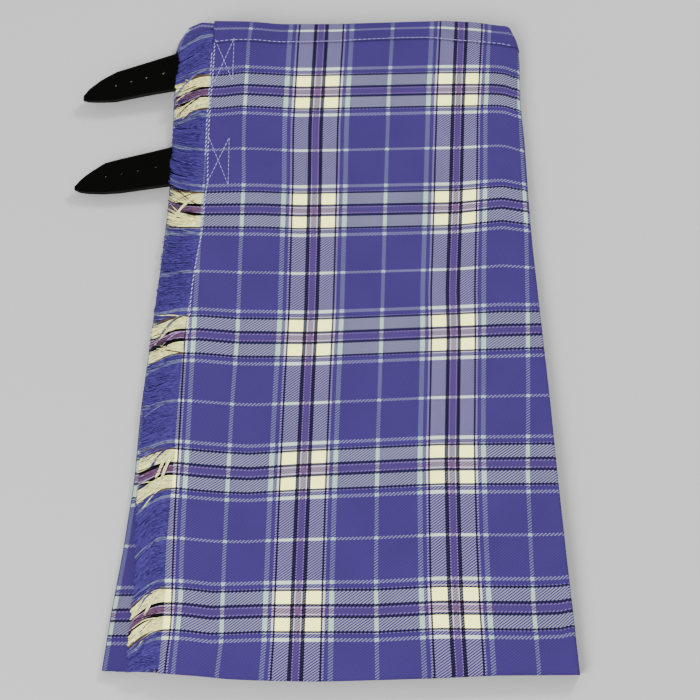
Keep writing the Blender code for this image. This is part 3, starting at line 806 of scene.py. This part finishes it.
def cloth_material(name, shade=1.0):
    """Worsted in a 2/2 twill: the check's colours on warp and weft, their relief, and painted light
    and shade from the relief and from where the piece lies.
    """
    material, tree = start_material(name)
    weave, across, along = weave_map(tree)
    ends = sums(tree, "MULTIPLY", across, WARP_THREADS)
    picks = sums(tree, "MULTIPLY", along, WEFT_THREADS)
    this_end, this_pick = sums(tree, "FLOOR", ends), sums(tree, "FLOOR", picks)
    turn = sums(tree, "FRACT", sums(tree, "MULTIPLY", sums(tree, "SUBTRACT", this_end, this_pick),
                                    1.0 / TWILL_THREADS))
    warp_up = sums(tree, "LESS_THAN", turn, WARP_UP)
    end_place = sums(tree, "DIVIDE", sums(tree, "ADD", this_end, 0.5), WARP_THREADS)
    pick_place = sums(tree, "DIVIDE", sums(tree, "ADD", this_pick, 0.5), WEFT_THREADS)
    weft = stripes(tree, pick_place, WEFT_STRIPES)
    warp = stripes(tree, end_place, WARP_STRIPES)
    upper = blend_colours(tree, warp_up, weft, warp)
    lower = blend_colours(tree, 1.0, blend_colours(tree, warp_up, warp, weft), GROUND,
                          "LIGHTEN")
    # The darker of the two: a light yarn takes on some of the colour it crosses, a dark yarn over a
    # lighter one is darkened as painted shade
    colour = blend_colours(tree, 1.0, tinted(tree, upper, lower, LIGHT_SHARE),
                           tinted(tree, upper, lower, DARK_SHARE), "DARKEN")
    clear = sums(tree, "MULTIPLY", within(tree, end_place, WARP_CREAM),
                 within(tree, pick_place, WEFT_CREAM))
    colour = blend_colours(tree, clear, colour, CREAM)

    # The dye's slow unevenness; its lowest value is lowered by the piece's painted shade
    uneven = noise(tree, weave, DYE_SCALE, DYE_DETAIL)
    depth = sums(tree, "MULTIPLY_ADD", uneven, DYE_PLAY, DYE_LEAST * shade)

    def crown(value):
        return sums(tree, "SINE", sums(tree, "MULTIPLY", sums(tree, "FRACT", value), math.pi))
    relief = node(tree, "ShaderNodeMix", data_type="FLOAT")
    tree.links.new(warp_up, relief.inputs[0])
    tree.links.new(crown(picks), relief.inputs[2])
    tree.links.new(crown(ends), relief.inputs[3])
    # Painted shade in the grooves between yarns, and painted light on the warp floats
    groove = sums(tree, "MULTIPLY_ADD", relief.outputs[0], 1.0 - GROOVE_LIGHT, GROOVE_LIGHT)
    twill = sums(tree, "MULTIPLY_ADD", warp_up, WARP_LIGHT - WEFT_LIGHT, WEFT_LIGHT)
    depth = sums(tree, "MULTIPLY", depth, sums(tree, "MULTIPLY", groove, twill))
    # The dye's unevenness and the painted light and shade, multiplied into the colour
    dye_and_painted_light = node(tree, "ShaderNodeCombineColor")
    for socket in dye_and_painted_light.inputs:
        tree.links.new(depth, socket)
    colour = blend_colours(tree, 1.0, colour, dye_and_painted_light.outputs[0], "MULTIPLY")
    finish(tree, colour, relief.outputs[0], WEAVE_RELIEF, WORSTED)
    return material


def yarn_material(name, table=None, colour=STITCH_WHITE):
    """Spun yarn: one colour a thread, with the twist as fine relief and as painted shade in its
    hollows.
    """
    material, tree = start_material(name)
    weave, _, place_in_check = weave_map(tree)
    fuzz = noise(tree, weave, FUZZ_SCALE, FUZZ_DETAIL)
    base = stripes(tree, place_in_check, table) if table else colour
    # Painted shade: the yarn's colour darkened by YARN_SHADOW where the fuzz noise is low
    shadow = blend_colours(tree, 1.0, base, YARN_SHADOW, "MULTIPLY")
    tone = sums(tree, "MULTIPLY_ADD", fuzz, FUZZ_CONTRAST, FUZZ_START)
    finish(tree, blend_colours(tree, tone, shadow, base), fuzz, YARN_RELIEF, YARN)
    return material


def leather_material(name):
    """Black strap leather: fine grain, soft gloss and a grey painted highlight along its long
    edges.
    """
    material, tree = start_material(name)
    spot = node(tree, "ShaderNodeTexCoord").outputs["Object"]
    grain = node(tree, "ShaderNodeTexVoronoi", feature="SMOOTH_F1")
    grain.inputs["Scale"].default_value = GRAIN_SCALE
    tree.links.new(spot, grain.inputs["Vector"])
    scuff = noise(tree, spot, SCUFF_SCALE, SCUFF_DETAIL)
    _, _, strap_share = weave_map(tree)
    # Painted highlight: grey along both long edges of the strap, broken up by the scuffs
    off_centre = sums(tree, "ABSOLUTE", sums(tree, "SUBTRACT", strap_share, 0.5))
    highlight_edges = node(tree, "ShaderNodeMapRange")
    highlight_edges.inputs["From Min"].default_value = EDGE_HIGHLIGHT_FROM
    highlight_edges.inputs["From Max"].default_value = 0.5
    tree.links.new(off_centre, highlight_edges.inputs["Value"])
    highlight_share = sums(tree, "MULTIPLY", highlight_edges.outputs[0], scuff)
    height = sums(tree, "MULTIPLY_ADD", scuff, SCUFF_RELIEF, grain.outputs["Distance"])
    shader = finish(tree, blend_colours(tree, highlight_share, LEATHER_BLACK, LEATHER_EDGE_HIGHLIGHT), height,
                    GRAIN_RELIEF, STRAP_LEATHER)
    tree.links.new(sums(tree, "MULTIPLY_ADD", scuff, SCUFF_DULL, LEATHER_GLOSS),
                   shader.inputs["Roughness"])
    return material


def floor_material():
    material, tree = start_material("pale floor")
    shader = tree.nodes["Principled BSDF"]
    shader.inputs["Base Color"].default_value = FLOOR_PALE
    for socket, value in FLOOR_MATT.items():
        shader.inputs[socket].default_value = value
    return material


# Straps

def faces_at(bm, spots):
    """The face nearest to each place, seen from above."""
    return [min(bm.faces, key=lambda face: (face.calc_center_median() - spot).xy.length)
            for spot in spots]


def make_strap(name, node_name, table, hole_list, hole_share, tip_height, material):
    """A leather strap with punched holes and a pointed end, rounded along its edges."""
    table = sorted(table)
    tip_x, root_x = table[0][0], table[-1][0]
    columns = [x for x in evenly(tip_x, root_x, STRAP_COLUMNS)
               if all(abs(x - hole) > 2 * HOLE_HALF for hole in hole_list)]
    columns += [hole + side for hole in hole_list for side in (-HOLE_HALF, HOLE_HALF)]
    columns.sort()
    shares = SHARES_BELOW + [hole_share - HOLE_SHARE_HALF, hole_share + HOLE_SHARE_HALF]
    shares += SHARES_ABOVE
    root = under_level(table[-1][1]) + CLOTH / 2 + GAP + LEATHER / 2
    rows = []
    places = []
    for share in shares:
        row = []
        for x in columns:
            z = mix(tip_height, root, smooth(tip_x, HANG_X, x))
            row.append((x, mix(read_table(table, x, 1), read_table(table, x, 2), share), z))
        rows.append(row)
        places.append([((x - tip_x) / STRAP_WIDE, share) for x in columns])
    mesh = sheet_mesh(name, rows, places)
    bm = bmesh.new()
    bm.from_mesh(mesh)
    spots = [place(hole, mix(read_table(table, hole, 1), read_table(table, hole, 2), hole_share),
                   0.0) for hole in hole_list]
    corners = {vert for face in faces_at(bm, spots) for vert in face.verts}
    bmesh.ops.bevel(bm, geom=list(corners), offset=HOLE_CORNER * MM, affect="VERTICES",
                    segments=1, profile=0.5, material=-1)
    bmesh.ops.delete(bm, geom=faces_at(bm, spots), context="FACES_ONLY")
    bm.to_mesh(mesh)
    bm.free()
    mesh.shade_smooth()
    piece = new_piece(name, mesh, material, node_name)
    add_wall(piece, LEATHER)
    round_off = piece.modifiers.new("Edges", "BEVEL")
    round_off.width = EDGE_ROUND * MM
    round_off.segments = EDGE_SEGMENTS
    round_off.limit_method = "ANGLE"
    round_off.angle_limit = math.radians(EDGE_ANGLE)
    return piece


# Fringe

STRANDS, STRAYS, FRINGE_SEED = 1500, 260, 11
STRAND_STEPS, STRAND_ROOT, HEM_PLAY = 6, 1.2, 0.5
CURL_TURNS, CURL_OWN, LIFT_LEFT = 5.0, 3.0, 0.35
FRINGE_LOW, FRINGE_HIGH = -277.0, 312.0
STRAND_WIDTHS = [0.34, 0.38, 0.38, 0.37, 0.35, 0.31, 0.24]
# y, how far the yarn slides towards the hem for each step to the left, and its tips
FRINGE_LAY = [
    (-281.0, 0.08, -168.0),
    (-268.0, 0.28, -167.5),
    (-250.0, 0.46, -167.0),
    (-227.0, 0.42, -166.5),
    (-177.0, 0.60, -166.0),
    (-140.0, 0.52, -167.5),
    (-107.0, 0.25, -169.5),
    (-50.0, 0.06, -169.6),
    (12.9, 0.22, -166.8),
    (40.0, 0.02, -165.4),
    (110.0, -0.20, -160.6),
    (133.0, -0.30, -159.4),
    (170.0, -0.25, -158.6),
    (205.0, -0.15, -158.4),
    (253.0, 0.25, -158.4),
    (312.0, 0.40, -157.0),
]
# Locks pulled across their neighbours: root y, x of the tips, slide, strands
CROSSING_LOCKS = [
    (-95.0, -153.0, 1.45, 9),
    (-99.0, -149.0, 1.90, 6),
    (-88.0, -158.0, 0.95, 6),
    (-213.0, -156.0, 1.25, 8),
    (-208.0, -160.0, 0.90, 6),
    (30.0, -158.0, 0.75, 7),
    (-3.0, -159.0, -0.35, 6),
    (145.0, -155.0, 0.75, 6),
    (121.0, -156.0, -0.60, 7),
    (270.0, -158.0, 0.80, 5),
]
LOCK_DROOP, LOCK_REST = (2.0, 26.0), 1.7
ROOT_ROWS, STRAP_MARGIN = 4, 9.0        # over these rows of a strap's table the fringe lies on it
# Ranges in which a lock, its ends, a stray end and a crossing end differ from the table
LOCK_COUNT, LOCK_LEAN, LOCK_REACH = (7, 18), (-0.06, 0.07), (-0.7, 0.8)
END_REACH, END_LEAN, END_GATHER = (-0.7, 1.2), (-0.05, 0.05), (0.0, 0.3)
END_CURL, END_LIFT = (-0.9, 0.9), (-0.35, 0.9)
STRAY_REACH, STRAY_LEAN, STRAY_CURL, STRAY_LIFT = (-1.0, 9.0), (0.05, 0.22), (-2.2, 2.2), (0.7, 1.9)
CROSS_SPREAD, CROSS_REACH, CROSS_LEAN = (-1.6, 1.6), (-2.0, 2.0), (-0.12, 0.12)
CROSS_CURL, CROSS_LIFT = (-1.2, 1.2), (1.2, 2.4)


def fringe_height(x, y):
    """Middle of the fringe: level with the apron's edge, then down onto what lies below."""
    root = front_height(outline(y, EDGE), y)
    rest = under_height(x, y) + LOCK_REST
    for strap in (UPPER_STRAP, LOWER_STRAP):
        low = min(row[1] for row in strap[:ROOT_ROWS]) - STRAP_MARGIN
        high = max(row[2] for row in strap[:ROOT_ROWS]) + STRAP_MARGIN
        if low < y < high:
            rest = under_level(y) + LOCK_REST + LEATHER
    return mix(root, min(rest, root), smooth(*LOCK_DROOP, outline(y, EDGE) - x))


def strand_path(y, tip_x, lean, gather, curl, lift):
    """One weft end from under the apron's edge to its tip; gather is its lock's middle."""
    root_x = outline(y, EDGE) + STRAND_ROOT
    path = []
    for step in range(STRAND_STEPS + 1):
        share = step / STRAND_STEPS
        x = mix(root_x, tip_x, share)
        real_y = place_y(FRONT_ENDS, root_x, y) - lean * (root_x - x) * share
        real_y += (gather - y) * share * share
        real_y += curl * math.sin(share * CURL_TURNS + curl * CURL_OWN) * share
        real_y = max(real_y, place_y(UNDER_ENDS, x, HEM_Y) - HEM_PLAY)
        z = fringe_height(x, y) + lift * math.sin(share * math.pi) + LIFT_LEFT * lift * share
        path.append((x, real_y, z))
    return path


def make_fringe(material):
    """Loose weft ends, a few together in uneven locks, and single ends astray over them."""
    rng = random.Random(FRINGE_SEED)
    paths = []
    values = []

    def add(y, *lay):
        paths.append(strand_path(y, *lay))
        edge = outline(y, EDGE)
        values.append(check_place(edge, place_y(FRONT_ENDS, edge, y), paths[-1][0][2])[1])

    left_in_lock = 0
    pitch = (FRINGE_HIGH - FRINGE_LOW) / STRANDS
    for strand in range(STRANDS):
        y = FRINGE_LOW + pitch * strand
        if left_in_lock <= 0:
            left_in_lock = rng.randint(*LOCK_COUNT)
            lock_middle = y + pitch * left_in_lock / 2
            lock_lean = rng.uniform(*LOCK_LEAN)
            lock_reach = rng.uniform(*LOCK_REACH)
        left_in_lock -= 1
        tip_x = read_table(FRINGE_LAY, y, 2) + lock_reach + rng.uniform(*END_REACH)
        lean = read_table(FRINGE_LAY, y, 1) + lock_lean + rng.uniform(*END_LEAN)
        add(y, tip_x, lean, mix(y, lock_middle, rng.uniform(*END_GATHER)),
            rng.uniform(*END_CURL), rng.uniform(*END_LIFT))
    for _ in range(STRAYS):
        y = rng.uniform(FRINGE_LOW, FRINGE_HIGH)
        tip_x = read_table(FRINGE_LAY, y, 2) + rng.uniform(*STRAY_REACH)
        lean = read_table(FRINGE_LAY, y, 1) + rng.gauss(*STRAY_LEAN)
        add(y, tip_x, lean, y, rng.uniform(*STRAY_CURL), rng.uniform(*STRAY_LIFT))
    for middle, tip_x, lean, count in CROSSING_LOCKS:
        for _ in range(count):
            add(middle + rng.uniform(*CROSS_SPREAD), tip_x + rng.uniform(*CROSS_REACH),
                lean + rng.uniform(*CROSS_LEAN), middle, rng.uniform(*CROSS_CURL),
                rng.uniform(*CROSS_LIFT))
    piece = draw_threads("edge_fringe", paths, STRAND_WIDTHS, values, material)
    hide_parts("fringe")
    return piece


# Stitching

STITCH_WIDTHS = [0.16, 0.24, 0.26, 0.24, 0.16]
STITCH_LIFTS = [-0.25, 0.75, 1.0, 0.75, -0.25]
STITCH_RISE, EDGE_RISE, EDGE_THICK = 0.3, 0.35, 1.8
BAND_STITCH, BOX_STITCH = (4.1, 1.7), (3.4, 1.0)        # each: its length and the gap after it
BAND_SEAM, BAND_SEAM_POINTS = (-125.0, 134.0), 32
BAND_TONE, EDGE_TONE, BOX_TONE = 0.1, 0.2, 0.3          # places in the thread's own pattern


def stitch(start, end, surface, rise=STITCH_RISE):
    """One stitch: it dips in at both ends and lies on the cloth between them."""
    path = []
    for step, lift in enumerate(STITCH_LIFTS):
        share = step / (len(STITCH_LIFTS) - 1)
        x, y = mix(start[0], end[0], share), mix(start[1], end[1], share)
        path.append((x, y, surface(x, y) + lift * rise))
    return path


def stitch_line(corners, length, gap, surface):
    """Stitches along a line through the given corners."""
    paths = []
    for (x0, y0), (x1, y1) in zip(corners, corners[1:]):
        run = math.hypot(x1 - x0, y1 - y0)
        count = max(1, round((run + gap) / (length + gap)))
        for number in range(count):
            start = number / count
            end = start + length / (length + gap) / count
            paths.append(stitch((mix(x0, x1, start), mix(y0, y1, start)),
                                (mix(x0, x1, end), mix(y0, y1, end)), surface))
    return paths


def nominal_y(x, y):
    """The nominal row of a real place on the front."""
    low, high = read_table(FRONT_ENDS, x, 1), read_table(FRONT_ENDS, x, 2)
    return mix(HEM_Y, WAIST_Y, (y - low) / (high - low))


def front_top(x, y):
    """Upper face of the front's cloth at a real place."""
    return front_height(x, nominal_y(x, y)) + WALL / 2


def band_top(x, y):
    return front_top(x, y) + BAND_OUT


def box_top(x, y):
    """The strap's sewn box reaches up onto the band."""
    edge = place_y(FRONT_ENDS, x, BAND_Y) - read_table(BAND_DIP, x, 1)
    return band_top(x, y) if y > edge else front_top(x, y)


# y, x: the seam that runs along the upper half of the fringed edge
EDGE_SEAM = [
    (1.0, -134.0), (39.0, -134.0), (58.0, -133.4), (77.0, -131.9), (96.0, -129.7),
    (111.0, -127.8), (145.0, -127.0), (160.0, -125.6), (185.0, -126.9), (215.0, -127.2),
    (241.0, -126.2), (256.0, -125.6), (312.0, -125.6),
]
SEAM_FOOT = 15.0
EDGE_PITCH, EDGE_SLANT, EDGE_REACH = 4.1, 0.50, 1.35
PAIRED_SEAM, PAIR_GAP = (188.0, 288.0), 2.1     # a second row runs beside it here
SEAM_ABOVE = 1.2
UPPER_BOX = [(-125.2, 304.5), (-108.8, 305.6), (-108.1, 261.2), (-123.9, 260.7)]
LOWER_BOX = [(-128.1, 210.6), (-109.3, 207.0), (-107.9, 159.6), (-125.7, 163.1)]


def seam_stitches(low, high, aside):
    """Slanting stitches up the fringed edge."""
    made = []
    y = low
    while y < high:
        x = read_table(EDGE_SEAM, y, 1) + aside
        real_y = place_y(FRONT_ENDS, x, y)
        made.append(stitch((x - EDGE_SLANT, real_y - EDGE_REACH),
                           (x + EDGE_SLANT, real_y + EDGE_REACH), front_top, EDGE_RISE))
        y += EDGE_PITCH
    return made


def make_stitching(material):
    """Topstitching on the band, the fringed edge's seam, and a crossed box at each strap."""
    def sew(name, threads, tone, thick=1.0):
        widths = [width * thick for width in STITCH_WIDTHS]
        return draw_threads(name, threads, widths, [tone] * len(threads), material)

    line = [(x, place_y(FRONT_ENDS, x, BAND_Y) - read_table(BAND_DIP, x, 1) + SEAM_ABOVE)
            for x in evenly(*BAND_SEAM, BAND_SEAM_POINTS)]
    band_seam = sew("band_stitching", stitch_line(line, *BAND_STITCH, band_top), BAND_TONE)

    threads = seam_stitches(SEAM_FOOT, FRINGE_HIGH, 0.0)
    threads += seam_stitches(*PAIRED_SEAM, -PAIR_GAP)
    edge_seam = sew("edge_stitching", threads, EDGE_TONE, EDGE_THICK)

    threads = []
    for high_left, high_right, low_right, low_left in (UPPER_BOX, LOWER_BOX):
        for start, end in ((high_right, low_right), (high_left, low_right),
                           (low_left, high_right)):
            threads += stitch_line([start, end], *BOX_STITCH, box_top)
    return band_seam, edge_seam, sew("strap_stitching", threads, BOX_TONE)


# The stage

FLOOR_HALF, SKY_LIGHT = 6.0, 1.30
# name, place, width, watts
LAMPS = [
    ("key", (1.3, 1.4, 1.8), 0.7, 72.0),
    ("fill", (-0.9, -1.5, 1.6), 1.3, 99.0),
]
CLIP_START, CLIP_END = 0.05, 20.0


def make_stage():
    """A pale floor, plain soft light and the camera."""
    mesh = bpy.data.meshes.new("floor")
    bm = bmesh.new()
    bmesh.ops.create_grid(bm, x_segments=1, y_segments=1, size=FLOOR_HALF)
    bm.to_mesh(mesh)
    bm.free()
    mesh.materials.append(floor_material())
    floor = bpy.data.objects.new("floor", mesh)
    bpy.context.scene.collection.objects.link(floor)

    world = bpy.data.worlds.new("studio")
    bpy.context.scene.world = world
    world.use_nodes = True
    sky = world.node_tree.nodes["Background"]
    sky.inputs["Color"].default_value = (1.0, 1.0, 1.0, 1.0)
    sky.inputs["Strength"].default_value = SKY_LIGHT
    for name, spot, size, watts in LAMPS:
        light = bpy.data.lights.new(name, "AREA")
        light.shape = "DISK"
        light.size = size
        light.energy = watts
        holder = bpy.data.objects.new(name, light)
        holder.location = spot
        holder.rotation_euler = (-Vector(spot)).to_track_quat("-Z", "Y").to_euler()
        bpy.context.scene.collection.objects.link(holder)

    data = bpy.data.cameras.new("camera")
    data.sensor_width = SENSOR
    data.lens = CAMERA_FOCAL / PICTURE * SENSOR
    data.clip_start, data.clip_end = CLIP_START, CLIP_END
    camera = bpy.data.objects.new("camera", data)
    turn = (Matrix.Rotation(math.radians(CAMERA_YAW), 4, "Y")
            @ Matrix.Rotation(math.radians(CAMERA_PITCH), 4, "X")
            @ Matrix.Rotation(math.radians(CAMERA_ROLL), 4, "Z"))
    camera.matrix_world = Matrix.Translation(place(*CAMERA_PLACE)) @ turn
    bpy.context.scene.collection.objects.link(camera)
    bpy.context.scene.camera = camera


# Nominal rows of each panel's mesh: even up the skirt, closer under the band
FRONT_ROWS = evenly(HEM_Y, BAND_Y, 106) + [306.0, 310.0, 315.0, 320.0]
UNDER_ROWS = evenly(HEM_Y, BAND_Y, 60) + [308.0, 314.0, 320.0]
BACK_ROWS = evenly(HEM_Y, BAND_Y, 40) + [311.0, 320.0]


def dress():
    """Make every piece."""
    make_stage()
    check = cloth_material("front check")
    under = cloth_material("under check", UNDER_SHADE)
    pleated = cloth_material("pleat check")
    banded = cloth_material("band check", BAND_SHADE)
    leather = leather_material("black leather")
    front = cloth_panel("front_panel", front_section, FRONT_ENDS, FRONT_ROWS, check,
                        "front_apron")
    lower = cloth_panel("under_panel", under_section, UNDER_ENDS, UNDER_ROWS, under,
                        "under_apron")
    pleats = cloth_panel("pleat_panel", pleat_section, BACK_ENDS, BACK_ROWS, pleated,
                         "pleated_back")
    band = folded_band("band_front", front_path, front_section, FRONT_ENDS, 1.0, BAND_DIP,
                       banded, "waistband_front")
    band_below = folded_band("band_under", under_path, under_section, UNDER_ENDS, -1.0,
                             LEVEL_DIP, banded, "waistband_under")
    band_behind = back_band("band_back", banded, "waistband_back")
    fringe = make_fringe(yarn_material("fringe yarn", FRINGE_STRIPES))
    band_seam, edge_seam, strap_seam = make_stitching(yarn_material("white thread"))
    for strap in STRAPS:
        make_strap(*strap, leather)


dress()
